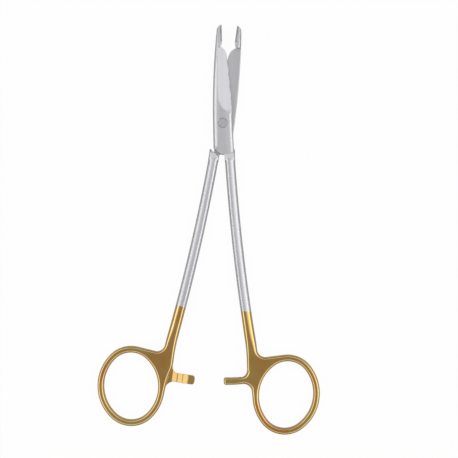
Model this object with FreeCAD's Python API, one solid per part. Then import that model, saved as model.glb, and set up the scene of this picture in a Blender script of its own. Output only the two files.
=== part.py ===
import FreeCAD, Part
import math
import os

# A needle holder with scissor blades: two crossing forgings on a screw, 165 mm long.
# Lengths are millimetres and angles are degrees. The instrument lies flat, +Z is up, +Y runs
# from the joint to the jaws, and the Z axis is the pivot, with z = 0 at the joint's underside.
# Both halves are drawn shut, with the closing line at x = 0 and the plate on top. The back
# half is the same form turned over. Each is then set on the pivot and swung open.

Vector = FreeCAD.Vector

# Joint
rest_opening = 9.0
joint_thickness = 5.2
lap_gap = 0.04
pivot_offset = 0.45
plate_outer = 4.35
plate_inner = 3.5
plate_end_outer = 10.2
plate_end_inner = 12.5
plate_corner_x = 1.6
plate_edge_chamfer = 0.8
shoulder_gap = 0.2
ramp_length = 2.6
ramp_sink = 0.3
tail_x = 0.0
flush_inset = 0.1

# Screw
screw_head_diameter = 3.7
screw_head_height = 0.9
screw_head_sink = 0.06
screw_neck_diameter = 2.6
screw_thread_diameter = 2.3
screw_clearance = 0.04
slot_width = 0.55
slot_depth = 0.5
slot_angle = 45.6

# Jaws and their carbide pads
tip_reach = 39.7
jaw_length = 8.8
jaw_tip_thickness = 2.8
jaw_tip_width = 2.05
jaw_relief = 0.7
nose_length = 2.0
pad_thickness = 0.6
pad_length = 6.6
pad_face_gap = 0.02
tooth_pitch = 0.85
tooth_depth = 0.12

# Scissor blades
jaw_step_gap = 0.5
blade_nose_length = 4.4
blade_end_width = 1.9
blade_crossing = 0.1
blade_heel = 4.6
ground_depth_tilt = 12.0
ground_slope = 2.75
ground_start_x = 1.6
wheel_round = 1.2
bevel_width = 0.6
bevel_depth = 0.35
bevel_run_out = 0.35

# Shank
shank_width = 4.2
shank_thickness = 3.5
shank_edge_round = 1.35
shank_bow = [(2.0, -11.0), (4.6, -50.5), (8.85, -88.0)]
shank_turn_radius = 70.0

# Finger ring
ring_centre_x = 22.8
ring_centre_reach = 110.2
ring_inner_length = 27.0
ring_inner_width = 21.8
ring_wire_width = 2.7
ring_thickness = 3.3
ring_lean = 9.0
ring_end_share = 0.84

# Web between shank and ring
web_leave_angle = 96.0
foot_leave_angle = 176.0
web_fillet = 3.4
web_edge_chamfer = 0.7
web_top_inset = 0.5
web_top_rise = 0.6
foot_side_bulge = 0.35

# Ratchet arms
arm_top_reach = 102.7
front_arm_height = 3.0
back_arm_height = 3.7
arm_overlap = 2.3
arm_root_fillet = 3.2
arm_edge_chamfer = 0.35
arm_end_round = 0.5
arm_flare = 0.6
arm_top_drop = 0.15
ratchet_gap = 0.1
ratchet_tooth_pitch = 2.2
ratchet_tooth_height = 0.6
ratchet_first_tooth = 0.3
ratchet_tooth_count = 3

# Worked out from the sizes above
mid_height = joint_thickness / 2
jaw_root_reach = tip_reach - jaw_length
blade_end_reach = jaw_root_reach - jaw_step_gap
blade_curve_start = blade_end_reach - blade_nose_length

# How far a cut reaches past what it cuts, and a fused form into its neighbour
FAR = 60.0
seam = 0.1


def line(start, end):
    return Part.LineSegment(Vector(*start, 0), Vector(*end, 0)).toShape()


def arc(start, through, end):
    return Part.Arc(Vector(*start, 0), Vector(*through, 0), Vector(*end, 0)).toShape()


def slab(edges, bottom, top):
    """A flat outline made solid between two heights."""
    face = Part.Face(Part.Wire(Part.__sortEdges__(edges)))
    face.translate(Vector(0, 0, bottom))
    return face.extrude(Vector(0, 0, top - bottom))


def polygon_edges(points):
    return [line(a, b) for a, b in zip(points, points[1:] + points[:1])]


def edges_where(shape, test):
    return [edge for edge in shape.Edges if test(edge.BoundBox, edge.CenterOfMass)]


def rounded_bar(width, thickness, corner):
    """A bar's section, a rectangle with round corners; it stands in the XZ plane, round the origin."""
    right, top = width / 2, thickness / 2
    across, up = right - corner, top - corner
    cut = corner * math.sqrt(0.5)
    edges = []
    for sx, sz in ((1, 1), (-1, 1), (-1, -1), (1, -1)):
        edges.append(Part.Arc(Vector(sx * right, 0, sz * up), Vector(sx * (across + cut), 0, sz * (up + cut)),
                              Vector(sx * across, 0, sz * top)).toShape())
    for sign in (1, -1):
        side = Vector(sign * right, 0, -up), Vector(sign * right, 0, up)
        level = Vector(-across, 0, sign * top), Vector(across, 0, sign * top)
        edges += [Part.LineSegment(*ends).toShape() for ends in (side, level)]
    return Part.Face(Part.Wire(Part.__sortEdges__(edges)))


def bend(section, centre, radius, start, sweep):
    """A section carried round an arc: start and sweep are angles about the arc's centre."""
    face = section.copy()
    face.translate(Vector(radius, 0, mid_height))
    face.rotate(Vector(), Vector(0, 0, 1), start)
    face.translate(Vector(*centre, 0))
    return face.revolve(Vector(*centre, 0), Vector(0, 0, 1), sweep)


def ring_arcs():
    """The ring's four-arc oval: each arc's centre, radius, first normal angle and sweep."""
    long_half = (ring_inner_length + ring_wire_width) / 2
    wide_half = (ring_inner_width + ring_wire_width) / 2
    end_radius = ring_end_share * wide_half
    side_radius = (((long_half - end_radius) ** 2 + wide_half ** 2 - end_radius ** 2)
                   / (2 * (wide_half - end_radius)))
    turn = math.degrees(math.atan2(long_half - end_radius, side_radius - wide_half))
    arcs = []
    for x, y, radius, start, sweep in (
        (wide_half - side_radius, 0, side_radius, -turn, 2 * turn),
        (0, long_half - end_radius, end_radius, turn, 180 - 2 * turn),
        (side_radius - wide_half, 0, side_radius, 180 - turn, 2 * turn),
        (0, end_radius - long_half, end_radius, 180 + turn, 180 - 2 * turn),
    ):
        lean = math.radians(-ring_lean)
        centre = (ring_centre_x + x * math.cos(lean) - y * math.sin(lean),
                  -ring_centre_reach + x * math.sin(lean) + y * math.cos(lean))
        arcs.append((centre, radius, start - ring_lean, sweep))
    return arcs


def ring_point(normal, across):
    """Where the ring faces the angle normal, across mm outside the middle of its wire."""
    for (x, y), radius, start, sweep in ring_arcs():
        if start <= normal <= start + sweep:
            angle = math.radians(normal)
            return (x + (radius + across) * math.cos(angle), y + (radius + across) * math.sin(angle))


def ring_edges(first, last, across):
    """The outline of the ring between two normal angles."""
    edges = []
    for _, _, start, sweep in ring_arcs():
        low, high = max(start, first), min(start + sweep, last)
        if high - low > 0.01:
            low, high = low + 1e-9, high - 1e-9
            edges.append(arc(ring_point(low, across), ring_point((low + high) / 2, across),
                             ring_point(high, across)))
    return edges


def wire_section(last):
    """The oval of the ring's wire from its crest through the inside, as far as the angle last."""
    oval = Part.Ellipse(Vector(0, 0, ring_thickness / 2), Vector(-ring_wire_width / 2, 0, 0), Vector())
    edges = [oval.toShape(0, math.radians(last))]
    if last < 360:
        edges.append(Part.LineSegment(oval.value(0), oval.value(math.radians(last))).toShape())
    return Part.Face(Part.Wire(edges))


def finger_ring():
    """The oval wire carried round the arcs; only its inner half where the foot goes on outwards."""
    whole, inner_half = wire_section(360), wire_section(180)
    seams = (web_leave_angle, foot_leave_angle)
    parts = []
    for centre, radius, start, sweep in ring_arcs():
        stops = [start, *(seam for seam in seams if start < seam < start + sweep), start + sweep]
        for low, high in zip(stops, stops[1:]):
            beside_foot = web_leave_angle <= low and high <= foot_leave_angle
            parts.append(bend(inner_half if beside_foot else whole, centre, radius, low, high - low))
    return parts[0].fuse(parts[1:])


def circle_through(a, b, c):
    """The centre and radius of the circle through three points."""
    circle = Part.Circle(Vector(*a, 0), Vector(*b, 0), Vector(*c, 0))
    return circle.Center, circle.Radius


def shank_foot():
    """Where the bowed stretch ends: its point, its lean, and the centre of the turn that follows."""
    centre, radius = circle_through(*shank_bow)
    lean = math.atan2(shank_bow[2][1] - centre.y, shank_bow[2][0] - centre.x)
    turn_centre = (shank_bow[2][0] + shank_turn_radius * math.cos(lean),
                   shank_bow[2][1] + shank_turn_radius * math.sin(lean))
    return centre, radius, lean, turn_centre


def shank():
    """The bowed bar: one long arc from the joint, then a short turn that brings it upright."""
    section = rounded_bar(shank_width, shank_thickness, shank_edge_round)
    centre, radius, lean, turn_centre = shank_foot()
    top = math.degrees(math.atan2(shank_bow[0][1] - centre.y, shank_bow[0][0] - centre.x)) % 360
    low = math.degrees(lean) % 360
    bow = bend(section, (centre.x, centre.y), radius, top, low - top)
    turn = bend(section, turn_centre, shank_turn_radius, low - 180, 180 - low)
    return bow.fuse(turn)


def foot():
    """The flat that joins shank, ring and ratchet arm, hollow in the corner above the ring."""
    _, _, _, (turn_x, turn_y) = shank_foot()
    left = turn_x + shank_turn_radius - shank_width / 2
    right = left + shank_width
    leave = ring_point(web_leave_angle, ring_wire_width / 2 - seam)
    heading = math.radians(web_leave_angle)
    meet_x = right + web_fillet
    meet = (meet_x, leave[1] + (leave[0] - meet_x) / math.tan(heading))
    top = (right - web_top_inset, meet[1] + web_fillet + web_top_rise)
    through = (right + 0.22 * web_fillet, meet[1] + 0.3 * web_fillet)
    beside_ring = ring_point(foot_leave_angle, ring_wire_width / 2 - seam)
    start = (left + seam, turn_y)
    inside = left + shank_width / 4
    bulge = ((left + beside_ring[0]) / 2 - foot_side_bulge, (turn_y + beside_ring[1]) / 2)
    edges = [
        arc(top, through, meet),
        line(meet, leave),
        line(leave, ring_point(web_leave_angle, 0)),
        *ring_edges(web_leave_angle, foot_leave_angle, 0),
        line(ring_point(foot_leave_angle, 0), beside_ring),
        arc(beside_ring, bulge, start),
        line(start, (inside, top[1])),
        line((inside, top[1]), top),
    ]
    plate = slab(edges, mid_height - ring_thickness / 2, mid_height + ring_thickness / 2)
    rims = edges_where(plate, lambda box, middle: box.ZLength < 0.01 and (
        (box.XMax < beside_ring[0] + seam and box.YMax < turn_y + seam)
        or (box.YMin > meet[1] - seam and box.XMin > right - web_top_inset - seam)))
    return plate.makeChamfer(web_edge_chamfer, rims)


def polar(reach, x):
    """The point at that distance from the closing line's foot, x to its right, below the joint."""
    return (x, -math.sqrt(reach ** 2 - x ** 2))


def ratchet_arm(height):
    """A half-thick arm on an arc about the pivot, with saw teeth cut in its inner face."""
    top, bottom = arm_top_reach, arm_top_reach + height
    _, _, _, (turn_x, _) = shank_foot()
    root = turn_x + shank_turn_radius
    inner = root - shank_width / 2
    top_bend = inner - arm_root_fillet
    low_bend = inner + arm_flare - arm_root_fillet
    low_root = inner + 0.45 * shank_width
    shoulder_y = -top + 1.1 * arm_root_fillet
    low_y = -bottom - 0.9 * arm_root_fillet
    end = -arm_overlap
    bend_start = end + arm_end_round
    edges = [
        arc(polar(top, bend_start), polar(top, (end + top_bend) / 2), polar(top, top_bend)),
        arc(polar(top, top_bend), (inner - 0.3 * arm_root_fillet, -top + 0.35 * arm_root_fillet),
            (inner, shoulder_y)),
        line((inner, shoulder_y), (root, shoulder_y)),
        line((root, shoulder_y), (root + arm_flare, low_y)),
        line((root + arm_flare, low_y), (low_root, low_y)),
        arc((low_root, low_y), (low_bend + 0.75 * arm_root_fillet, -bottom - 0.1 * arm_root_fillet),
            polar(bottom, low_bend)),
        arc(polar(bottom, low_bend), polar(bottom, (end + low_bend) / 2), polar(bottom, bend_start)),
        arc(polar(bottom, bend_start), polar((top + bottom) / 2, end), polar(top, bend_start)),
    ]
    floor = mid_height + ratchet_gap / 2
    arm = slab(edges, floor, mid_height + shank_thickness / 2 - arm_top_drop)
    above = floor + ratchet_tooth_height
    upper = edges_where(arm, lambda box, middle: box.ZMin > above and box.XMax < inner + seam)
    arm = arm.makeChamfer(arm_edge_chamfer, upper)
    return arm.cut(Part.makeCompound(ratchet_teeth(floor, top, bottom)))


def ratchet_teeth(floor, top, bottom):
    """Wedges side by side along the arm: each cuts one steep and one sloping tooth flank."""
    wedges = []
    below = floor - ratchet_tooth_pitch
    for tooth in range(ratchet_tooth_count):
        start = ratchet_first_tooth + tooth * ratchet_tooth_pitch
        corners = [(start, below), (start, floor + ratchet_tooth_height),
                   (start + ratchet_tooth_pitch, floor), (start + ratchet_tooth_pitch, below)]
        outline = Part.makePolygon([Vector(x, -2 * bottom + top, z) for x, z in corners + corners[:1]])
        wedges.append(Part.Face(outline).extrude(Vector(0, 3 * (bottom - top), 0)))
    return wedges


def jaw_and_plate_outline():
    """The forging seen from above: nose, outer edge, plate end, and the cutting edge."""
    nose = (-jaw_tip_width, tip_reach - nose_length)
    inset = plate_outer - jaw_tip_width
    side_radius = (inset ** 2 + nose[1] ** 2) / (2 * inset)
    side_x = side_radius - plate_outer - math.sqrt(side_radius ** 2 - nose[1] ** 2 / 4)
    plate_end = (-plate_outer, -plate_end_outer)
    shank_side = shank_bow[0][0] + shank_width / 2 - seam / 2
    ramp_end = plate_end_inner + ramp_length
    heel = (plate_inner, blade_heel - bevel_width)
    blade_tip = (blade_end_width, blade_curve_start)
    relief = (-jaw_relief, blade_end_reach + 0.7 * jaw_step_gap)
    blade_end = (blade_crossing, blade_end_reach)
    pad_root = (-pad_face_gap, tip_reach - pad_length)
    return [
        arc((-pad_face_gap, tip_reach), (-0.72 * jaw_tip_width, tip_reach - 0.35 * nose_length), nose),
        arc(nose, (side_x, nose[1] / 2), (-plate_outer, 0)),
        line((-plate_outer, 0), plate_end),
        line(plate_end, (-plate_corner_x, -plate_end_inner)),
        line((-plate_corner_x, -plate_end_inner), (tail_x, -plate_end_inner)),
        line((tail_x, -plate_end_inner), (tail_x, -ramp_end)),
        line((tail_x, -ramp_end), (shank_side, -ramp_end)),
        arc((shank_side, -ramp_end), (0.64 * plate_inner + 0.36 * shank_side, -plate_end_inner / 2), heel),
        arc(heel, (0.51 * (plate_inner + blade_end_width), (blade_heel + blade_curve_start) / 2), blade_tip),
        arc(blade_tip, (0.72 * blade_end_width, blade_end_reach - 0.39 * blade_nose_length), blade_end),
        line(blade_end, relief),
        line(relief, pad_root),
        line(pad_root, (-pad_face_gap, tip_reach)),
    ]


def side_envelope():
    """The forging seen from the side: thick at the joint, thin at the nose and the shank."""
    ramp_end = plate_end_inner + ramp_length
    shank_half = shank_thickness / 2 - ramp_sink
    half_heights = [(-ramp_end - seam, shank_half), (-ramp_end, shank_half), (-plate_end_inner, mid_height),
                    (blade_heel, mid_height), (tip_reach + seam, jaw_tip_thickness / 2)]
    upper = [Vector(-FAR / 2, y, mid_height + h) for y, h in half_heights]
    lower = [Vector(-FAR / 2, y, mid_height - h) for y, h in reversed(half_heights)]
    return Part.Face(Part.makePolygon(upper + lower + upper[:1])).extrude(Vector(FAR, 0, 0))


def jaw_and_plate():
    """The head of the forging: the level plate and the thinning jaw, each chamfered along its outer edge."""
    blank = slab(jaw_and_plate_outline(), -joint_thickness, 2 * joint_thickness).common(side_envelope())
    level = Part.makeBox(FAR, FAR, FAR, Vector(-FAR / 2, blade_heel - FAR, -FAR / 2))
    parts = []
    for piece in (blank.common(level), blank.cut(level)):
        outer = edges_where(piece, lambda box, middle: (
            box.ZLength < joint_thickness / 4 and box.YLength > nose_length
            and middle.x < -0.6 * jaw_tip_width and box.YMax > -0.9 * plate_end_outer))
        parts.append(piece.makeChamfer(plate_edge_chamfer, outer))
    return parts[0].fuse(parts[1])


def on_shoulder(x):
    """The point at x on the shoulder that the other half's plate end meets when the handles are shut."""
    normal_x = plate_end_inner - plate_end_outer
    normal_y = plate_outer - plate_corner_x
    gap = shoulder_gap / math.hypot(normal_x, normal_y)
    slope = normal_x / normal_y
    return (x, slope * (x - plate_corner_x - gap * normal_x) - plate_end_inner - gap * normal_y)


def lap_pocket(pivot_x):
    """What is milled from the underside, so that the other half's plate and blade can cross."""
    left, right = on_shoulder(-plate_corner_x), on_shoulder(2 * plate_outer)
    outline = [left, right, (right[0], FAR), (-FAR / 2, FAR), (-FAR / 2, left[1])]
    below = slab(polygon_edges(outline), -joint_thickness, mid_height + lap_gap / 2)
    swing = Part.makeCylinder(jaw_root_reach, 3 * joint_thickness, Vector(pivot_x, 0, -joint_thickness))
    return below.common(swing)


def flush_cut():
    """What is ground off the back plate's side, along the front plate's edge as it lies at rest."""
    turn = math.radians(rest_opening)
    start_x = (plate_outer - pivot_offset) * math.cos(turn) + pivot_offset - flush_inset
    slope = math.sin(turn)
    base, step = on_shoulder(0)[1], on_shoulder(1)[1] - on_shoulder(0)[1]
    low_x = (start_x + slope * base) / (1 - slope * step)
    far = on_shoulder(2 * plate_outer)
    outline = [(start_x, 0), on_shoulder(low_x), far, (far[0], 0)]
    return slab(polygon_edges(outline), -joint_thickness, 2 * joint_thickness)


def grinding_cut():
    """The block that the grinding wheel takes off the blade's outer face, tilted to its edge."""
    length = jaw_root_reach - shoulder_gap - blade_heel
    block = Part.makeBox(FAR / 3, length, FAR / 10, Vector(-FAR / 6, 0, 0))
    first = edges_where(block, lambda box, middle: max(box.YMax, box.ZMax) < 0.01)
    block = block.makeFillet(wheel_round, first)
    block.rotate(Vector(), Vector(0, 1, 0), ground_depth_tilt)
    block.rotate(Vector(), Vector(1, 0, 0), -ground_slope)
    block.translate(Vector(-ground_start_x, blade_heel, joint_thickness))
    return block


def edge_bevel():
    """The bevel ground along the cutting edge: a wedge swept from the heel to the blade's end."""
    run = blade_curve_start - blade_heel
    drift = blade_end_width - plate_inner
    floor = mid_height + lap_gap / 2 + bevel_depth
    right, top = 2 * plate_inner, floor + joint_thickness / 2
    corners = [(seam / 2, floor), (-bevel_width, top), (right, top), (right, floor)]
    sections = []
    for y in (blade_heel + bevel_run_out, blade_curve_start + bevel_run_out):
        edge_x = plate_inner + drift * (y - blade_heel) / run
        sections.append(Part.makePolygon([Vector(edge_x + x, y, z) for x, z in corners + corners[:1]]))
    return Part.makeLoft(sections, True, True)


def pad_block(height):
    """The space of the carbide pad in the jaw's closing face, open at the nose."""
    return Part.makeBox(pad_thickness, pad_length + nose_length, height,
                        Vector(-pad_thickness, tip_reach - pad_length, mid_height - height / 2))


def forging(side):
    """One half, shut and with its plate on top; side is 1 for the front half and -1 for the back."""
    arm_height = front_arm_height if side > 0 else back_arm_height
    pivot_x = -pivot_offset * side
    handle = shank().fuse([finger_ring(), foot(), ratchet_arm(arm_height)])
    body = handle.fuse(jaw_and_plate())
    cuts = [lap_pocket(pivot_x), grinding_cut(), edge_bevel(), pad_block(joint_thickness)]
    if side < 0:
        cuts.append(flush_cut())
    return body.cut(cuts).cut(screw_holes(side))


def screw_holes(side):
    """The front plate's counterbore and running hole, or the back plate's threaded hole."""
    pivot_x = -pivot_offset * side
    if side < 0:
        thread = screw_thread_diameter / 2
        return Part.makeCylinder(thread, 3 * joint_thickness, Vector(pivot_x, 0, -joint_thickness))
    head = screw_head_diameter / 2 + 2 * screw_clearance
    seat = joint_thickness - screw_head_height - screw_head_sink
    counterbore = Part.makeCylinder(head, joint_thickness, Vector(pivot_x, 0, seat - screw_clearance))
    neck = screw_neck_diameter / 2 + screw_clearance
    return counterbore.fuse(Part.makeCylinder(neck, joint_thickness, Vector(pivot_x, 0, 0)))


def jaw_pad():
    """The carbide pad: the jaw's own form inside the pad's seat, with a cross-cut face."""
    pad = jaw_and_plate().common(pad_block(joint_thickness))
    return pad.cut(Part.makeCompound(grip_grooves()))


def grip_grooves():
    """Two crossing sets of fine V grooves at 45 degrees over the pad's face."""
    grooves = []
    reach = pad_length + jaw_tip_thickness
    half = tooth_depth
    corners = [(0, -half), (-tooth_depth, 0), (0, half), (pad_thickness, half), (pad_thickness, -half)]
    outline = [Vector(x, 0, z) for x, z in corners + corners[:1]]
    count = int(reach / tooth_pitch / 2) + 1
    for lean in (45, -45):
        for step in range(-count, count + 1):
            groove = Part.Face(Part.makePolygon(outline)).extrude(Vector(0, reach, 0))
            groove.translate(Vector(0, -reach / 2, 0))
            groove.rotate(Vector(), Vector(1, 0, 0), lean)
            middle = tip_reach - pad_length / 2 + step * tooth_pitch * math.sqrt(2)
            groove.translate(Vector(-pad_face_gap, middle, mid_height))
            grooves.append(groove)
    return grooves


def pivot_screw():
    """A slotted screw: flat head, plain neck through the front plate, thread in the back plate."""
    top = joint_thickness - screw_head_sink
    under_head = top - screw_head_height
    thread_top = mid_height - lap_gap / 2
    screw = Part.makeCylinder(screw_thread_diameter / 2, thread_top)
    screw = screw.fuse([
        Part.makeCylinder(screw_neck_diameter / 2, under_head - thread_top, Vector(0, 0, thread_top)),
        Part.makeCylinder(screw_head_diameter / 2, screw_head_height, Vector(0, 0, under_head)),
    ]).removeSplitter()
    slot = Part.makeBox(2 * screw_head_diameter, slot_width, 2 * slot_depth)
    slot.translate(Vector(-screw_head_diameter, -slot_width / 2, top - slot_depth))
    slot.rotate(Vector(), Vector(0, 0, 1), slot_angle)
    return screw.cut(slot)


def placed(shape, side):
    """Turns the back half's pieces over, sets them on the pivot and opens them to the rest place."""
    shape = shape.copy()
    if side < 0:
        shape.rotate(Vector(0, 0, mid_height), Vector(0, 1, 0), 180)
    shape.translate(Vector(pivot_offset, 0, 0))
    shape.rotate(Vector(), Vector(0, 0, 1), side * rest_opening / 2)
    return shape


def write(name, shape):
    solids = [solid.copy() for solid in shape.Solids]
    result = solids[0] if len(solids) == 1 else Part.makeCompound(solids)
    result.exportStep(os.path.join("parts", name + ".step"))
    print(name, "solids", len(solids), "valid", result.isValid(), "volume", round(result.Volume, 2))


os.makedirs("parts", exist_ok=True)
write("front_half", placed(forging(1), 1))
write("back_half", placed(forging(-1), -1))
write("front_jaw_insert", placed(jaw_pad(), 1))
write("back_jaw_insert", placed(jaw_pad(), -1))
write("pivot_screw", pivot_screw())
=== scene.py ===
import bpy
import math
import numpy as np
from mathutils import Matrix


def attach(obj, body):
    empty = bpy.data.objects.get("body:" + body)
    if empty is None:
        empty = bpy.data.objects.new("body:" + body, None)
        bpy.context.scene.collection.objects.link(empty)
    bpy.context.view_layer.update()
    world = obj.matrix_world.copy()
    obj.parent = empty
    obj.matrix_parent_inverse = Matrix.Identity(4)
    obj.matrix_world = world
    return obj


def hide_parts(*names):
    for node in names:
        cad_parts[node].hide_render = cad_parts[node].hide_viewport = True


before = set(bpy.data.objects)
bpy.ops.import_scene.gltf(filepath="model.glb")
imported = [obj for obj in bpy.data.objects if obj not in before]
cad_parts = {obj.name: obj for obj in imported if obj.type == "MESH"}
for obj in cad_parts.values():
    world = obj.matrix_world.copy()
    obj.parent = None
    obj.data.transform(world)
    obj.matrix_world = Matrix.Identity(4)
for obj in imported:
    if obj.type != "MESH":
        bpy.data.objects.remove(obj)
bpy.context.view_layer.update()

# The two forgings. Each half is one piece of stainless steel, drop forged and then ground: ring, ratchet arm,
# shank, lap plate, blade and jaw. It is gold plated below the gilding line, and the screw joins the two. They are
# drawn in mm with the jaws shut at x = 0 and the plate on top; the back half is the same form turned over.

mm = 0.001
rest_opening = math.radians(9.0)
pivot_offset = 0.45
middle = 2.6
lap_gap = 0.04
seam_half = 0.06
shank_start, shank_bend, shank_foot = (2.0, -11.0), (4.6, -50.5), (8.85, -88.0)
turn_radius = 70.0
ring_centre = (22.8, -110.2)
ring_lean = math.radians(9.0)
ring_half_length, ring_half_width = 14.85, 12.25
ring_end_radius = 0.84 * ring_half_width
wire_half = 1.343
bar_rows, bar_half_widths = (-97.0, -88.0, -78.0, -55.0, -16.0), (2.28, 2.2, 2.12, 2.1, 2.03)
bar_end, foot_bottom, foot_top = -112.0, -97.0, -84.0
web_normal = math.radians(96.0)
web_fillet = 3.4
arm_reach, arm_end, arm_fillet, arm_top = 102.7, -2.3, 3.2, -99.0
front_arm_height, back_arm_height = 3.0, 3.7
first_tooth, tooth_pitch, tooth_depth, tooth_count = 0.3, 2.2, 0.6, 3
plate_outer, plate_end_outer, plate_end_inner, plate_corner_x = 4.35, 10.2, 12.5, 1.6
tip_reach, nose_y, nose_x = 39.7, 37.7, 2.05
plate_neck, blade_end = -15.1, 30.4
jaw_root, jaw_root_round = 30.9, 1.2
pad_root, pad_seat_depth = 33.1, 0.6
neck_hole, thread_hole, head_seat, head_seat_floor = 1.34, 1.15, 1.93, 4.2
flat_start, flat_length, flat_heel_round = (-1.75, 3.7), 27.0, 7.0
flat_tilt, flat_slope = math.radians(12.0), math.radians(-2.75)
plate_fillet, broken_edge, flat_edge, seat_edge, flush_edge = 0.5, 0.12, 0.15, 0.05, 0.3
crown_rise, crown_reach = 0.24, 4.0
seam_end = -60.0


def joined(a, b, radius):
    """Two forms in one, the corner between them filled with a round of that radius."""
    corner = np.hypot(np.maximum(radius - a, 0), np.maximum(radius - b, 0))
    return np.maximum(radius, np.minimum(a, b)) - corner


def common(a, b, radius):
    """What two forms share, the edge where they meet rounded to that radius."""
    return -joined(-a, -b, radius)


def ease(value, start, end):
    """Rises smoothly from 0 at start to 1 at end."""
    t = np.clip((value - start) / (end - start), 0, 1)
    return t * t * (3 - 2 * t)


def circle_through(a, b, c):
    """Centre and radius of the circle through three points, where the bisectors of two of their sides cross."""
    rows = 2 * np.array([[b[0] - a[0], b[1] - a[1]], [c[0] - a[0], c[1] - a[1]]])
    level = a[0] ** 2 + a[1] ** 2
    centre = np.linalg.solve(rows, [b[0] ** 2 + b[1] ** 2 - level, c[0] ** 2 + c[1] ** 2 - level])
    return centre, math.hypot(*(centre - a))


bow_centre, bow_radius = circle_through(shank_start, shank_bend, shank_foot)
foot_lean = math.atan2(shank_foot[1] - bow_centre[1], shank_foot[0] - bow_centre[0])
turn_x = shank_foot[0] + turn_radius * math.cos(foot_lean)
turn_y = shank_foot[1] + turn_radius * math.sin(foot_lean)
shank_end_x = turn_x + turn_radius


def across_shank(x, y):
    """Distance to the right of the bar's middle line: a long arc, a short arc back, then straight down."""
    bow = bow_radius - np.hypot(x - bow_centre[0], y - bow_centre[1])
    turn = np.hypot(x - turn_x, y - turn_y) - turn_radius
    past = (y - shank_foot[1]) * math.cos(foot_lean) - (x - shank_foot[0]) * math.sin(foot_lean) > 0
    return np.where(past, np.where(y < turn_y, x - shank_end_x, turn), bow)


def outside_ring(x, y):
    """Distance outside the middle line of the ring's wire, an oval of two side arcs and two end arcs."""
    right, up = x - ring_centre[0], y - ring_centre[1]
    u = np.abs(right * math.cos(ring_lean) - up * math.sin(ring_lean))
    v = np.abs(right * math.sin(ring_lean) + up * math.cos(ring_lean))
    end_offset = ring_half_length - ring_end_radius
    side_radius = ((end_offset ** 2 + ring_half_width ** 2 - ring_end_radius ** 2)
                   / (2 * (ring_half_width - ring_end_radius)))
    side_offset = ring_half_width - side_radius
    side = np.hypot(u - side_offset, v) - side_radius
    end = np.hypot(u, v - end_offset) - ring_end_radius
    return np.where(v * -side_offset < (u - side_offset) * end_offset, side, end)


def ring_leaving():
    """Where the ring's outer edge faces the web's angle, on the oval's upper end arc."""
    up = ring_half_length - ring_end_radius
    centre_x = ring_centre[0] + up * math.sin(ring_lean)
    centre_y = ring_centre[1] + up * math.cos(ring_lean)
    reach = ring_end_radius + wire_half
    return centre_x + reach * math.cos(web_normal), centre_y + reach * math.sin(web_normal)


def body_plan(x, y):
    """The handle seen from above: the bar, tapering into the ring's side, and the web in the corner above the
    ring. The bar's inner side counts for more, which makes its round narrower than the outer one."""
    ring = outside_ring(x, y)
    across = across_shank(x, y)
    half = np.interp(y, bar_rows, bar_half_widths)
    inner = -half - across
    inner = inner + (ring - wire_half - inner) * ease(y, arm_top, bar_end)
    sharper = 1 + 0.7 * ease(y, foot_bottom, foot_top)
    leave_x, leave_y = ring_leaving()
    normal_x, normal_y = math.cos(web_normal), math.sin(web_normal)
    level = (x - leave_x) * normal_x + (y - leave_y) * normal_y
    beyond = (x - leave_x) * normal_y - (y - leave_y) * normal_x
    outer = joined(across - half, np.maximum(level, beyond), web_fillet)
    ends = np.maximum(y - shank_start[1], bar_end - y)
    body = np.maximum(np.maximum(outer, sharper * inner), np.maximum(ends, -wire_half - ring))
    return np.minimum(body, np.abs(ring) - wire_half)


def arm_plan(x, y, height):
    """The ratchet arm seen from above: a strip on an arc about the joint, round at its end."""
    strip = np.abs(np.hypot(x, y) - arm_reach - height / 2) - height / 2
    return common(np.maximum(strip, x - shank_end_x), arm_end - x, 0.3 * height)


def forged(plan, rise, half_height, edge_width, edge_height, fullness):
    """A flat form with round edges. Its section is |a|^n + |b|^n = 1, where a runs from the flat to the
    outline, b from the side to the top, and n is 2 for an oval edge and more for a squarer one."""
    a = (plan + edge_width) / edge_width
    b = (np.abs(rise) - half_height + edge_height) / edge_height
    corner = (np.maximum(a, 1e-9) ** fullness + np.maximum(b, 1e-9) ** fullness) ** (1 / fullness)
    return (corner + np.minimum(np.maximum(a, b), 0) - 1) * np.minimum(edge_width, edge_height)


def handle(x, y, z, arm_height):
    """Bar, web and ring, with the half-thick arm on the upper side and its saw teeth on its lower face."""
    rise = z - middle
    plan = body_plan(x, y)
    bar = ease(y, foot_bottom, foot_top)
    wire_edge = 1.34
    half_height = 1.647 + 0.1 * bar
    edge_width = wire_edge + 1.3 * bar
    edge_height = half_height - 0.02
    fullness = 2.8 - 0.6 * bar
    body = forged(plan, rise, half_height, edge_width, edge_height, fullness)
    both = joined(plan, arm_plan(x, y, arm_height), arm_fillet)
    arm_edge = np.interp(x, [2.5, 6.5], [0.8, wire_edge])
    arm = forged(both, rise, half_height, arm_edge, arm_edge * edge_height / wire_edge, 2.0)
    place = (x - first_tooth) / tooth_pitch
    step = np.clip(place, 0, tooth_count - 0.001) % 1
    tooth = tooth_depth * np.interp(step, [0, 0.06, 1], [0, 1, 0]) * (place > 0)
    arm = common(arm, 0.05 + tooth - rise, 0.1) + 1.5 * ease(y, arm_top, arm_top + 3.0)
    return np.minimum(body, arm)


def arc_points(start, through, end, count):
    """Points evenly along the arc through three points, from the first to just before the last."""
    centre, radius = circle_through(start, through, end)
    marks = (start, through, end)
    first, mid, last = (math.atan2(p[1] - centre[1], p[0] - centre[0]) for p in marks)
    sweep = (last - first) % (2 * math.pi)
    if (mid - first) % (2 * math.pi) > sweep:
        sweep -= 2 * math.pi
    angles = first + sweep * np.arange(count) / count
    return [(centre[0] + radius * math.cos(a), centre[1] + radius * math.sin(a)) for a in angles]


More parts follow.
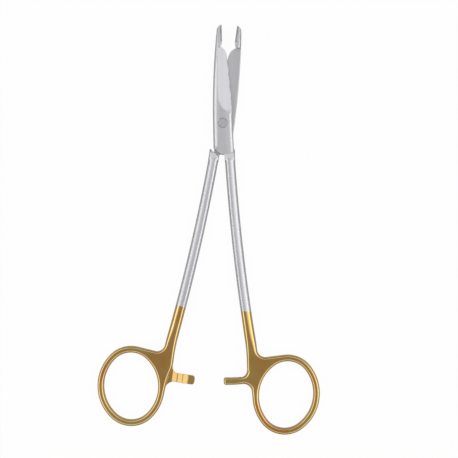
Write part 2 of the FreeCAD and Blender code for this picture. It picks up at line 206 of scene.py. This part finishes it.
plate_side_radius = ((plate_outer - nose_x) ** 2 + nose_y ** 2) / (2 * (plate_outer - nose_x))
plate_side_x = plate_side_radius - plate_outer - math.sqrt(plate_side_radius ** 2 - nose_y ** 2 / 4)
head_outline = [
    *arc_points((-0.02, tip_reach), (-1.476, 39.0), (-nose_x, nose_y), 8),
    *arc_points((-nose_x, nose_y), (plate_side_x, nose_y / 2), (-plate_outer, 0.0), 16),
    (-plate_outer, 0.0), (-plate_outer, -plate_end_outer), (-plate_corner_x, -plate_end_inner),
    (seam_half, -plate_end_inner), (seam_half, plate_neck),
    *arc_points((4.05, plate_neck), (3.7, -6.25), (3.5, 4.0), 8),
    *arc_points((3.5, 4.0), (2.754, 15.3), (1.9, 26.0), 12),
    *arc_points((1.9, 26.0), (1.368, 28.7), (0.1, blade_end), 8),
    (0.1, blade_end), (-0.7, 30.75), (-0.02, pad_root),
]


def outline_distance(x, y, corners):
    """Distance to a closed outline, less than 0 inside it: the nearest side gives the length, and a point is
    inside where a line drawn from it crosses an odd number of sides."""
    nearest, inside = 1e9, False
    for (ax, ay), (bx, by) in zip(corners, corners[1:] + corners[:1]):
        dx, dy = bx - ax, by - ay
        t = np.clip(((x - ax) * dx + (y - ay) * dy) / (dx * dx + dy * dy), 0, 1)
        nearest = np.minimum(nearest, np.hypot(x - ax - t * dx, y - ay - t * dy))
        if dy:
            inside = inside ^ (((ay > y) != (by > y)) & (x < ax + dx * (y - ay) / dy))
    return np.where(inside, -nearest, nearest)


def head(x, y, z):
    """Plate, blade and jaw: crowned a little by polishing, thinner towards the tip, the outer edge well
    rounded. Gives the form and its distance from the outline."""
    plan = outline_distance(x, y, head_outline)
    height_rows, half_heights = (plate_neck, -plate_end_inner, 4.6, 40.2), (1.45, middle, middle, 1.4)
    half_height = np.interp(y, height_rows, half_heights)
    crown = crown_rise * np.clip(1 + plan / crown_reach, 0, 1) ** 2
    outer = ease(x, -0.8, -2.0) * ease(y, -10.6, -9.0)
    inner = ease(x, 1.5, 2.6) * ease(y, 4.6, 3.2) * ease(y, -12.6, -11.5)
    edge_width = 0.2 + (1.9 - 1.3 * ease(y, 27.0, 34.0)) * outer + 1.3 * inner
    edge_height = 0.2 + 0.9 * outer + 0.55 * inner
    return forged(plan, z - middle, half_height - crown, edge_width, edge_height, 2.0), plan


shoulder_slope = (plate_end_inner - plate_end_outer) / (plate_outer - plate_corner_x)


def above_shoulder(x, y):
    """Distance above the slanting shoulder that stops the other half's plate."""
    length = math.hypot(shoulder_slope, 1)
    corner_x = plate_corner_x + 0.2 * shoulder_slope / length
    corner_y = -plate_end_inner - 0.2 / length
    return (y - corner_y - shoulder_slope * (x - corner_x)) / length


def lap_space(x, y, z, plan, pivot_x):
    """Where the other half's plate and blade cross under this half's: above its shoulder, up to the jaw's round
    root."""
    swing = common(plan, jaw_root - np.hypot(x - pivot_x, y), jaw_root_round)
    return np.maximum(z - middle - lap_gap / 2, -np.minimum(swing, above_shoulder(x, y)))


def flush_side(x, y):
    """What is ground off the back plate's side so that it doesn't show beside the front plate at rest."""
    front_side = (plate_outer - pivot_offset) * math.cos(rest_opening) + pivot_offset - 0.1
    line = front_side + y * math.sin(rest_opening)
    return np.minimum(np.minimum(x - line, above_shoulder(x, y)), -y)


def ground_flat(x, y, z):
    """What the wheel takes off the blade's outer face: the space over a plane tilted to the edge and to the
    tip, with a wide round where the wheel comes down at the heel."""
    right, ahead, high = x - flat_start[0], y - flat_start[1], z - 2 * middle
    along = ahead * math.cos(flat_slope) + high * math.sin(flat_slope)
    over = -ahead * math.sin(flat_slope) + high * math.cos(flat_slope)
    above = over * math.cos(flat_tilt) + right * math.sin(flat_tilt)
    return common(common(-5 * above, -along, flat_heel_round), along - flat_length, 0.25)


def half_form(side):
    """The whole forging as one form that is 0 on its surface; side is 1 for the front half, -1 for the back."""
    pivot_x = -pivot_offset * side
    arm_height = front_arm_height if side > 0 else back_arm_height

    def form(x, y, z):
        block, plan = head(x, y, z)
        steel = joined(block, handle(x, y, z, arm_height), plate_fillet)
        steel = common(steel, -lap_space(x, y, z, plan, pivot_x), broken_edge)
        steel = common(steel, -ground_flat(x, y, z), flat_edge)
        steel = common(steel, np.minimum(x + pad_seat_depth, y - pad_root), seat_edge)
        between_shanks = np.minimum(-plate_end_inner - y, y - seam_end)
        steel = np.maximum(steel, np.minimum(seam_half - x, between_shanks))
        reach = np.hypot(x - pivot_x, y)
        if side > 0:
            hole = np.minimum(reach - neck_hole, np.maximum(reach - head_seat, head_seat_floor - z))
            return common(steel, -hole, broken_edge)
        steel = common(steel, flush_side(x, y), flush_edge)
        return common(steel, thread_hole - reach, broken_edge)

    return form


def skin(form, xs, ys, zs):
    """The surface where a form is 0: its points, its quads and its normals. Each grid cell that it crosses gets
    one point, the mean of its crossings, which is then drawn onto the surface along the slope; each crossed grid
    edge gets one quad, facing out."""
    grid = [np.asarray(a, float) for a in (xs, ys, zs)]
    across, high = grid[0][:, None, None], grid[2][None, None, :]
    bands = np.array_split(grid[1], max(1, len(grid[1]) // 60))
    value = np.concatenate([form(across, band[None, :, None], high) for band in bands], 1)
    cells = tuple(n - 1 for n in value.shape)
    total, count = np.zeros((3,) + cells), np.zeros(cells)
    inside = value < 0
    crossed = []
    for axis in range(3):
        low, high = np.moveaxis(value, axis, 0)[:-1], np.moveaxis(value, axis, 0)[1:]
        hit = np.moveaxis((low < 0) != (high < 0), 0, axis)
        share = np.divide(low, low - high, out=np.zeros_like(low), where=low != high)
        share = np.moveaxis(share, 0, axis)
        place = np.nonzero(hit)
        crossed.append((place, inside[place]))
        point = [grid[k][place[k]] for k in range(3)]
        point[axis] = point[axis] + share[place] * np.diff(grid[axis])[place[axis]]
        first, second = [k for k in range(3) if k != axis]
        for one, two in ((0, 0), (0, 1), (1, 0), (1, 1)):
            cell = list(place)
            cell[first] = place[first] - one
            cell[second] = place[second] - two
            fits = np.all([(c >= 0) & (c < n) for c, n in zip(cell, cells)], axis=0)
            flat = np.ravel_multi_index([c[fits] for c in cell], cells)
            for k in range(3):
                total[k].reshape(-1)[:] += np.bincount(flat, point[k][fits], count.size)
            count.reshape(-1)[:] += np.bincount(flat, minlength=count.size)
    used = count > 0
    number = np.full(cells, -1)
    number[used] = np.arange(used.sum())
    points = np.stack([total[k][used] / count[used] for k in range(3)], 1)
    quads = []
    for axis, (place, from_inside) in enumerate(crossed):
        one, two = (axis + 1) % 3, (axis + 2) % 3
        corners = []
        for a, b in ((1, 1), (0, 1), (0, 0), (1, 0)):
            cell = list(place)
            cell[one] = place[one] - a
            cell[two] = place[two] - b
            corners.append(number[tuple(cell)])
        quad = np.stack(corners, 1)
        quads.append(np.where(from_inside[:, None], quad, quad[:, ::-1]))
    reach = 0.5 * min(np.diff(a).min() for a in grid)
    probe = 0.02

    def slope_at(places):
        rises = [form(*(places + probe * o).T) - form(*(places - probe * o).T) for o in np.eye(3)]
        return np.stack(rises, 1) / (2 * probe)

    for _ in range(4):
        slope = slope_at(points)
        move = -form(*points.T)[:, None] * slope / np.maximum((slope ** 2).sum(1), 0.05)[:, None]
        length = np.linalg.norm(move, axis=1, keepdims=True)
        points = points + move * np.minimum(1, reach / np.maximum(length, 1e-9))
    slope = slope_at(points)
    steepness = np.maximum(np.linalg.norm(slope, axis=1, keepdims=True), 1e-9)
    return points, np.concatenate(quads), slope / steepness


def turned(arrows, side):
    """Directions from the shut drawing to the object: the back half is turned over, both are opened by half."""
    turn = side * rest_opening / 2
    x, y, z = arrows.T
    right = side * x * math.cos(turn) - y * math.sin(turn)
    ahead = side * x * math.sin(turn) + y * math.cos(turn)
    return np.stack([right, ahead, side * z], 1)


def set_in_place(points, side):
    """Points from the shut drawing to the object, where the pivot is the origin."""
    at_middle = points + (side * pivot_offset, 0, -middle)
    return turned(at_middle, side) + (0, 0, middle)


def make_piece(name, points, faces, normals, material, body, cad_node):
    """A smooth mesh, from millimetres to metres, that stands for one node and moves with its body."""
    mesh = bpy.data.meshes.new(name)
    mesh.from_pydata(points * mm, [], faces)
    mesh.polygons.foreach_set("use_smooth", np.ones(len(mesh.polygons), bool))
    mesh.materials.append(material)
    mesh.update()
    mesh.normals_split_custom_set_from_vertices(normals)
    piece = bpy.data.objects.new(name, mesh)
    bpy.context.scene.collection.objects.link(piece)
    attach(piece, body)
    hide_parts(cad_node)
    return piece


def stepped(*stops):
    """Grid lines between stops. A stop is a place and the pitch from there on; the last pitch isn't used."""
    lines = []
    for (start, pitch), (end, _) in zip(stops, stops[1:]):
        lines.append(np.linspace(start, end, max(1, round((end - start) / pitch)), endpoint=False))
    return np.concatenate(lines + [[stops[-1][0]]])


def node(tree, kind, inputs=(), **settings):
    """A shader node with its settings; each input is given a value or joined to another node's output."""
    made = tree.nodes.new(kind)
    for key, value in settings.items():
        setattr(made, key, value)
    for key, value in dict(inputs).items():
        if isinstance(value, bpy.types.NodeSocket):
            tree.links.new(value, made.inputs[key])
        else:
            made.inputs[key].default_value = value
    return made


def new_group(name, inputs, outputs):
    """An empty node group that is given a place and the numbers named, and gives back the numbers named."""
    group = bpy.data.node_groups.new(name, "ShaderNodeTree")
    group.interface.new_socket("Place", in_out="INPUT", socket_type="NodeSocketVector")
    for way, labels in (("INPUT", inputs), ("OUTPUT", outputs)):
        for label in labels:
            group.interface.new_socket(label, in_out=way, socket_type="NodeSocketFloat")
    return group, group.nodes.new("NodeGroupInput").outputs, group.nodes.new("NodeGroupOutput").inputs


def grinding_lines():
    """A group for metal ground along Y: fine scratches as a height, and broader streaks from 0 to 1."""
    group, given, given_back = new_group("grinding_lines", ["Lines per metre"], ["Height", "Streaks"])
    stretch = (1.0, 0.035, 1.0)
    drawn_out = node(group, "ShaderNodeMapping", {"Vector": given["Place"], "Scale": stretch}).outputs[0]
    fine_scale = given["Lines per metre"]
    fine = node(group, "ShaderNodeTexNoise", {"Vector": drawn_out, "Scale": fine_scale, "Detail": 3.0,
                                              "Roughness": 0.65})
    broad_scale = node(group, "ShaderNodeMath", {0: fine_scale, 1: 0.12}, operation="MULTIPLY").outputs[0]
    broad = node(group, "ShaderNodeTexNoise", {"Vector": drawn_out, "Scale": broad_scale, "Detail": 2.0})
    group.links.new(fine.outputs[0], given_back["Height"])
    group.links.new(broad.outputs[0], given_back["Streaks"])
    return group


def handling_marks():
    """A group for faint cloudy marks of handling and polishing, from 0 to 1."""
    group, given, given_back = new_group("handling_marks", ["Marks per metre"], ["Marks"])
    cloud = node(group, "ShaderNodeTexNoise", {"Vector": given["Place"], "Scale": given["Marks per metre"],
                                               "Detail": 4.0, "Roughness": 0.6, "Distortion": 0.4})
    spread = node(group, "ShaderNodeMapRange", {0: cloud.outputs[0], 1: 0.35, 2: 0.65, 3: 0.0, 4: 1.0})
    group.links.new(spread.outputs[0], given_back["Marks"])
    return group


def gilding_mask():
    """A group for the gold plate, 0 above a slanting line across the bar and 1 below it. The tide of the plating
    bath makes the line waver a little."""
    group, given, given_back = new_group("gilding_mask", ["Line"], ["Gilt"])
    slant, waver_depth, blur = 0.1, 0.6 * mm, 0.15 * mm
    parts = node(group, "ShaderNodeSeparateXYZ", {0: given["Place"]}).outputs
    cloud = node(group, "ShaderNodeTexNoise", {"Vector": given["Place"], "Scale": 420.0, "Detail": 2.0})
    waver = node(group, "ShaderNodeMath", {0: cloud.outputs[0], 1: waver_depth}, operation="MULTIPLY").outputs[0]
    slanted = node(group, "ShaderNodeMath", {0: parts[0], 1: slant, 2: parts[1]}, operation="MULTIPLY_ADD")
    level = node(group, "ShaderNodeMath", {0: slanted.outputs[0], 1: waver}, operation="ADD").outputs[0]
    below = node(group, "ShaderNodeMath", {0: given["Line"], 1: level}, operation="SUBTRACT").outputs[0]
    gilt = node(group, "ShaderNodeMapRange", {0: below, 1: -blur, 2: blur, 3: 0.0, 4: 1.0})
    group.links.new(gilt.outputs[0], given_back["Gilt"])
    return group


grinding, marks, gilding = grinding_lines(), handling_marks(), gilding_mask()


def new_metal(name):
    """A metal material with its node tree and its Principled shader."""
    material = bpy.data.materials.new(name)
    material.use_nodes = True
    shader = material.node_tree.nodes["Principled BSDF"]
    shader.inputs["Metallic"].default_value = 1.0
    return material, material.node_tree, shader


def mixed(tree, share, one, other):
    """A node's output for the colour between two colours, by a share from 0 to 1."""
    return node(tree, "ShaderNodeMix", {0: share, 6: one, 7: other}, data_type="RGBA").outputs[2]


def gilt_steel(name, side, gilding_line):
    """Satin steel ground lengthwise, and gold plate polished bright below the gilding line. The gold runs from
    olive to red where it is thicker, and a painted highlight mixes its colour toward pale cream where it is seen
    aslant."""
    material, tree, shader = new_metal(name)
    place = node(tree, "ShaderNodeTexCoord").outputs["Object"]
    own_turn = (0, 0, -side * rest_opening / 2)
    own = node(tree, "ShaderNodeMapping", {"Vector": place, "Rotation": own_turn}).outputs[0]
    lines = node(tree, "ShaderNodeGroup", {"Place": own, "Lines per metre": 3600.0}, node_tree=grinding).outputs
    clouds = node(tree, "ShaderNodeGroup", {"Place": own, "Marks per metre": 60.0}, node_tree=marks).outputs
    line = gilding_line * mm
    gilt = node(tree, "ShaderNodeGroup", {"Place": own, "Line": line}, node_tree=gilding).outputs["Gilt"]

    steel = mixed(tree, lines["Streaks"], (0.64, 0.64, 0.67, 1), (0.80, 0.80, 0.825, 1))
    gold = mixed(tree, clouds["Marks"], (0.71, 0.50, 0.17, 1), (0.66, 0.32, 0.085, 1))
    # Painted highlight: the gold's colour is mixed toward pale cream as the surface turns away from the camera.
    slant = node(tree, "ShaderNodeLayerWeight", {"Blend": 0.5}).outputs["Facing"]
    painted_highlight_share = node(tree, "ShaderNodeMapRange", {0: slant, 1: 0.01, 2: 0.12, 3: 0.0, 4: 0.5}).outputs[0]
    gold = mixed(tree, painted_highlight_share, gold, (0.84, 0.70, 0.40, 1))
    colour = mixed(tree, gilt, steel, gold)
    tree.links.new(colour, shader.inputs["Base Color"])
    steel_rough = node(tree, "ShaderNodeMapRange", {0: lines["Streaks"], 3: 0.36, 4: 0.46}).outputs[0]
    gold_rough = node(tree, "ShaderNodeMapRange", {0: clouds["Marks"], 3: 0.13, 4: 0.20}).outputs[0]
    rough = node(tree, "ShaderNodeMix", {0: gilt, 2: steel_rough, 3: gold_rough}, data_type="FLOAT").outputs[0]
    tree.links.new(rough, shader.inputs["Roughness"])
    depth = node(tree, "ShaderNodeMapRange", {0: gilt, 3: 0.02, 4: 0.01}).outputs[0]
    bump = node(tree, "ShaderNodeBump", {"Strength": depth, "Distance": 0.02 * mm, "Height": lines["Height"]})
    tree.links.new(bump.outputs[0], shader.inputs["Normal"])
    shader.inputs["Specular Tint"].default_value = (0.75, 0.72, 0.70, 1)
    return material


columns = stepped((-5.0, 0.172), (5.4, 0.2), (37.6, 0))
rows = stepped((-127.0, 0.2), (-92.0, 0.4), (-16.0, 0.172), (40.3, 0))
layers = stepped((-0.3, 0.17), (5.5, 0))
for side, body, gilding_line in ((1, "front_half", -75.1), (-1, "back_half", -75.8)):
    points, faces, normals = skin(half_form(side), columns, rows, layers)
    metal = gilt_steel(body + "_metal", side, gilding_line)
    make_piece(body + "_forging", set_in_place(points, side), faces, turned(normals, side), metal,
               body, body)

# The jaw pads. Two slips of tungsten carbide are brazed into seats in the jaws; their faces are cut crosswise so
# that a needle can't turn. They are harder and darker than the steel.

pad_face_gap, braze_gap = 0.02, 0.003
pad_middle, groove_pitch, groove_depth = 36.4, 0.85, 0.12


def pad_form(x, y, z):
    """The jaw's own form inside the pad's seat, less two crossing sets of V grooves on the closing face."""
    block, _ = head(x, y, z)
    in_seat = np.maximum(braze_gap - pad_seat_depth - x, pad_root + braze_gap - y)
    form = np.maximum(block, in_seat)
    groove = 0.0
    for lean in (1, -1):
        along = (y - pad_middle + lean * (z - middle)) / math.sqrt(2) / groove_pitch
        groove = np.maximum(groove, groove_depth - np.abs(along - np.round(along)) * groove_pitch)
    return np.maximum(form, x + pad_face_gap + groove)


def carbide(name):
    """Sintered carbide: dark grey, fine grained and a little rough."""
    material, tree, shader = new_metal(name)
    place = node(tree, "ShaderNodeTexCoord").outputs["Object"]
    grain = node(tree, "ShaderNodeTexNoise", {"Vector": place, "Scale": 9000.0, "Detail": 2.0}).outputs[0]
    colour = mixed(tree, grain, (0.36, 0.36, 0.37, 1), (0.50, 0.50, 0.51, 1))
    tree.links.new(colour, shader.inputs["Base Color"])
    bump = node(tree, "ShaderNodeBump", {"Strength": 0.2, "Distance": 0.01 * mm, "Height": grain})
    tree.links.new(bump.outputs[0], shader.inputs["Normal"])
    shader.inputs["Roughness"].default_value = 0.42
    return material


pad_columns = stepped((-0.7, 0.06), (0.06, 0))
pad_rows = stepped((32.95, 0.075), (39.85, 0))
pad_layers = stepped((0.8, 0.075), (4.4, 0))
pad_points, pad_faces, pad_normals = skin(pad_form, pad_columns, pad_rows, pad_layers)
pad_metal = carbide("tungsten_carbide")
for side, body, cad_node in ((1, "front_half", "front_jaw_insert"), (-1, "back_half", "back_jaw_insert")):
    make_piece(cad_node + "_pad", set_in_place(pad_points, side), pad_faces, turned(pad_normals, side),
               pad_metal, body, cad_node)

# The pivot screw. A turned stainless screw with a slotted cheese head sunk in the front plate; its thread holds in
# the back plate. The head is polished in the lathe, so its marks run round.

head_radius, head_top, head_height, head_edge = 1.85, 5.14, 0.9, 0.07
neck_radius, neck_bottom, neck_top = 1.3, 2.58, 4.64
slot_half, slot_depth, slot_turn, slot_edge = 0.275, 0.5, math.radians(45.6), 0.16
thread_radius, thread_middle, thread_half_length = 1.15, 1.3, 1.298
thread_pitch, thread_depth = 0.4, 0.06


def screw_form(x, y, z):
    """Three coaxial rounds, head, neck and thread, less the slot across the head; the thread waves in and out
    once a pitch as it winds."""
    reach = np.hypot(x, y)
    top = common(reach - head_radius, np.abs(z - head_top + head_height / 2) - head_height / 2, head_edge)
    neck = np.maximum(reach - neck_radius, np.maximum(neck_bottom - z, z - neck_top))
    winding = np.abs((z / thread_pitch - np.arctan2(y, x) / (2 * math.pi)) % 1 - 0.5) * 2
    thread_ends = np.abs(z - thread_middle) - thread_half_length
    thread = np.maximum(reach - thread_radius + thread_depth * winding, thread_ends)
    across = np.abs(y * math.cos(slot_turn) - x * math.sin(slot_turn)) - slot_half
    slot = np.maximum(across, head_top - slot_depth - z)
    return common(np.minimum(np.minimum(top, neck), thread), -slot, slot_edge)


def turned_steel(name):
    """Bright steel with rings from the lathe, centred on the pivot."""
    material, tree, shader = new_metal(name)
    place = node(tree, "ShaderNodeTexCoord").outputs["Object"]
    rings = node(tree, "ShaderNodeTexWave", {"Vector": place, "Scale": 2600.0, "Distortion": 0.6, "Detail": 1.0},
                 wave_type="RINGS", rings_direction="Z").outputs[1]
    colour = mixed(tree, rings, (0.70, 0.70, 0.72, 1), (0.80, 0.80, 0.81, 1))
    tree.links.new(colour, shader.inputs["Base Color"])
    bump = node(tree, "ShaderNodeBump", {"Strength": 0.08, "Distance": 0.01 * mm, "Height": rings})
    tree.links.new(bump.outputs[0], shader.inputs["Normal"])
    shader.inputs["Roughness"].default_value = 0.34
    return material


screw_lines = stepped((-1.95, 0.075), (1.95, 0))
screw_layers = stepped((-0.1, 0.075), (5.3, 0))
screw_points, screw_faces, screw_normals = skin(screw_form, screw_lines, screw_lines, screw_layers)
make_piece("slotted_screw", screw_points, screw_faces, screw_normals, turned_steel("turned_steel"),
           "back_half", "pivot_screw")

# The studio. A white table under a tent of light that is dim right overhead and bright at its sides, and the
# camera straight above the instrument.


def table_material():
    """Matt white that takes shadow; the camera sees it mostly as plain white, and the metal mirrors it half as
    bright."""
    seen_plain, mirrored_strength = 0.95, 0.5
    material = bpy.data.materials.new("white_table")
    material.use_nodes = True
    tree = material.node_tree
    tree.nodes.clear()
    path = node(tree, "ShaderNodeLightPath").outputs
    mirrored = node(tree, "ShaderNodeMath", {0: path["Is Glossy Ray"], 1: path["Is Transmission Ray"]},
                    operation="MAXIMUM").outputs[0]
    strength = node(tree, "ShaderNodeMath", {0: mirrored, 1: mirrored_strength - 1.0, 2: 1.0},
                    operation="MULTIPLY_ADD").outputs[0]
    in_picture = node(tree, "ShaderNodeMath", {0: path["Is Camera Ray"], 1: seen_plain},
                      operation="MULTIPLY").outputs[0]
    share = node(tree, "ShaderNodeMath", {0: mirrored, 1: in_picture}, operation="MAXIMUM").outputs[0]
    matt = node(tree, "ShaderNodeBsdfDiffuse", {"Color": (0.96, 0.96, 0.96, 1)})
    plain = node(tree, "ShaderNodeEmission", {"Color": (1, 1, 1, 1), "Strength": strength})
    mix = node(tree, "ShaderNodeMixShader", {0: share, 1: matt.outputs[0], 2: plain.outputs[0]})
    node(tree, "ShaderNodeOutputMaterial", {0: mix.outputs[0]})
    return material


table_half, table_level = 2.0, -0.05 * mm
table_mesh = bpy.data.meshes.new("white_table")
table_corners = [(x * table_half, y * table_half, table_level) for x, y in ((-1, -1), (1, -1), (1, 1), (-1, 1))]
table_mesh.from_pydata(table_corners, [], [(0, 1, 2, 3)])
table_mesh.materials.append(table_material())
table = bpy.data.objects.new("white_table", table_mesh)
bpy.context.scene.collection.objects.link(table)

# Brightness of the tent by degrees from straight overhead, falling off to both ends of the table, and of a softer
# panel on the right.
tent = ((0, 0.38), (14, 0.40), (25, 0.50), (36, 1.25), (46, 1.95), (56, 1.35), (67, 0.50), (80, 0.28),
        (90, 0.28), (180, 0.90))
brightest = 2.3
end_fall, end_share = 0.8, 0.15
panel_lean, panel_inner, panel_outer = math.radians(26.0), math.radians(7.0), math.radians(17.0)
panel_level = 0.75
world = bpy.data.worlds.new("light_tent")
bpy.context.scene.world = world
world.use_nodes = True
tree = world.node_tree
direction = node(tree, "ShaderNodeTexCoord").outputs["Generated"]
height = node(tree, "ShaderNodeSeparateXYZ", {0: direction}).outputs[2]
angle = node(tree, "ShaderNodeMath", {0: height}, operation="ARCCOSINE").outputs[0]
share = node(tree, "ShaderNodeMath", {0: angle, 1: math.pi}, operation="DIVIDE").outputs[0]
levels = node(tree, "ShaderNodeFloatCurve", {1: share})
curve = levels.mapping.curves[0]
for point, (place, level) in zip(curve.points, (tent[0], tent[-1])):
    point.location = (place / 180, level / brightest)
for place, level in tent[1:-1]:
    curve.points.new(place / 180, level / brightest)
for point in curve.points:
    point.handle_type = "AUTO_CLAMPED"
levels.mapping.update()
to_panel = (math.sin(panel_lean), 0.0, math.cos(panel_lean))
facing = node(tree, "ShaderNodeVectorMath", {0: direction, 1: to_panel}, operation="DOT_PRODUCT")
panel = node(tree, "ShaderNodeMapRange", {0: facing.outputs["Value"], 1: math.cos(panel_outer),
                                          2: math.cos(panel_inner), 3: 0.0, 4: panel_level},
             interpolation_type="SMOOTHSTEP").outputs[0]
lengthwise = node(tree, "ShaderNodeVectorMath", {0: direction, 1: (0, 1, 0)}, operation="DOT_PRODUCT")
ends = node(tree, "ShaderNodeMath", {0: lengthwise.outputs["Value"], 1: 2.0}, operation="POWER").outputs[0]
falling = node(tree, "ShaderNodeMath", {0: ends, 1: -end_fall, 2: 1.0}, operation="MULTIPLY_ADD").outputs[0]
sides = node(tree, "ShaderNodeMath", {0: falling, 1: end_share}, operation="MAXIMUM").outputs[0]
level = node(tree, "ShaderNodeMath", {0: levels.outputs[0], 1: brightest}, operation="MULTIPLY").outputs[0]
strength = node(tree, "ShaderNodeMath", {0: level, 1: sides, 2: panel}, operation="MULTIPLY_ADD")
tree.links.new(strength.outputs[0], tree.nodes["Background"].inputs["Strength"])
tree.nodes["Background"].inputs["Color"].default_value = (1, 1, 1, 1)

# The picture is 458 pixels square; the pivot lies at this pixel of it, and the instrument leans to the right.
picture_size = 458
pixel = 0.4045 * mm
pivot_pixel = (222.7, 123.4)
lean = math.radians(3.25)
lens, sensor = 85.0, 36.0
camera_data = bpy.data.cameras.new("camera")
camera_data.lens = lens
camera_data.sensor_width = sensor
camera = bpy.data.objects.new("camera", camera_data)
across = (picture_size / 2 - pivot_pixel[0]) * pixel
up = (pivot_pixel[1] - picture_size / 2) * pixel
camera_height = middle * mm + picture_size * pixel * lens / sensor
camera.location = (across * math.cos(lean) - up * math.sin(lean),
                   across * math.sin(lean) + up * math.cos(lean), camera_height)
camera.rotation_euler = (0, 0, lean)
bpy.context.scene.collection.objects.link(camera)
bpy.context.scene.camera = camera
bpy.context.scene.view_settings.view_transform = "Standard"
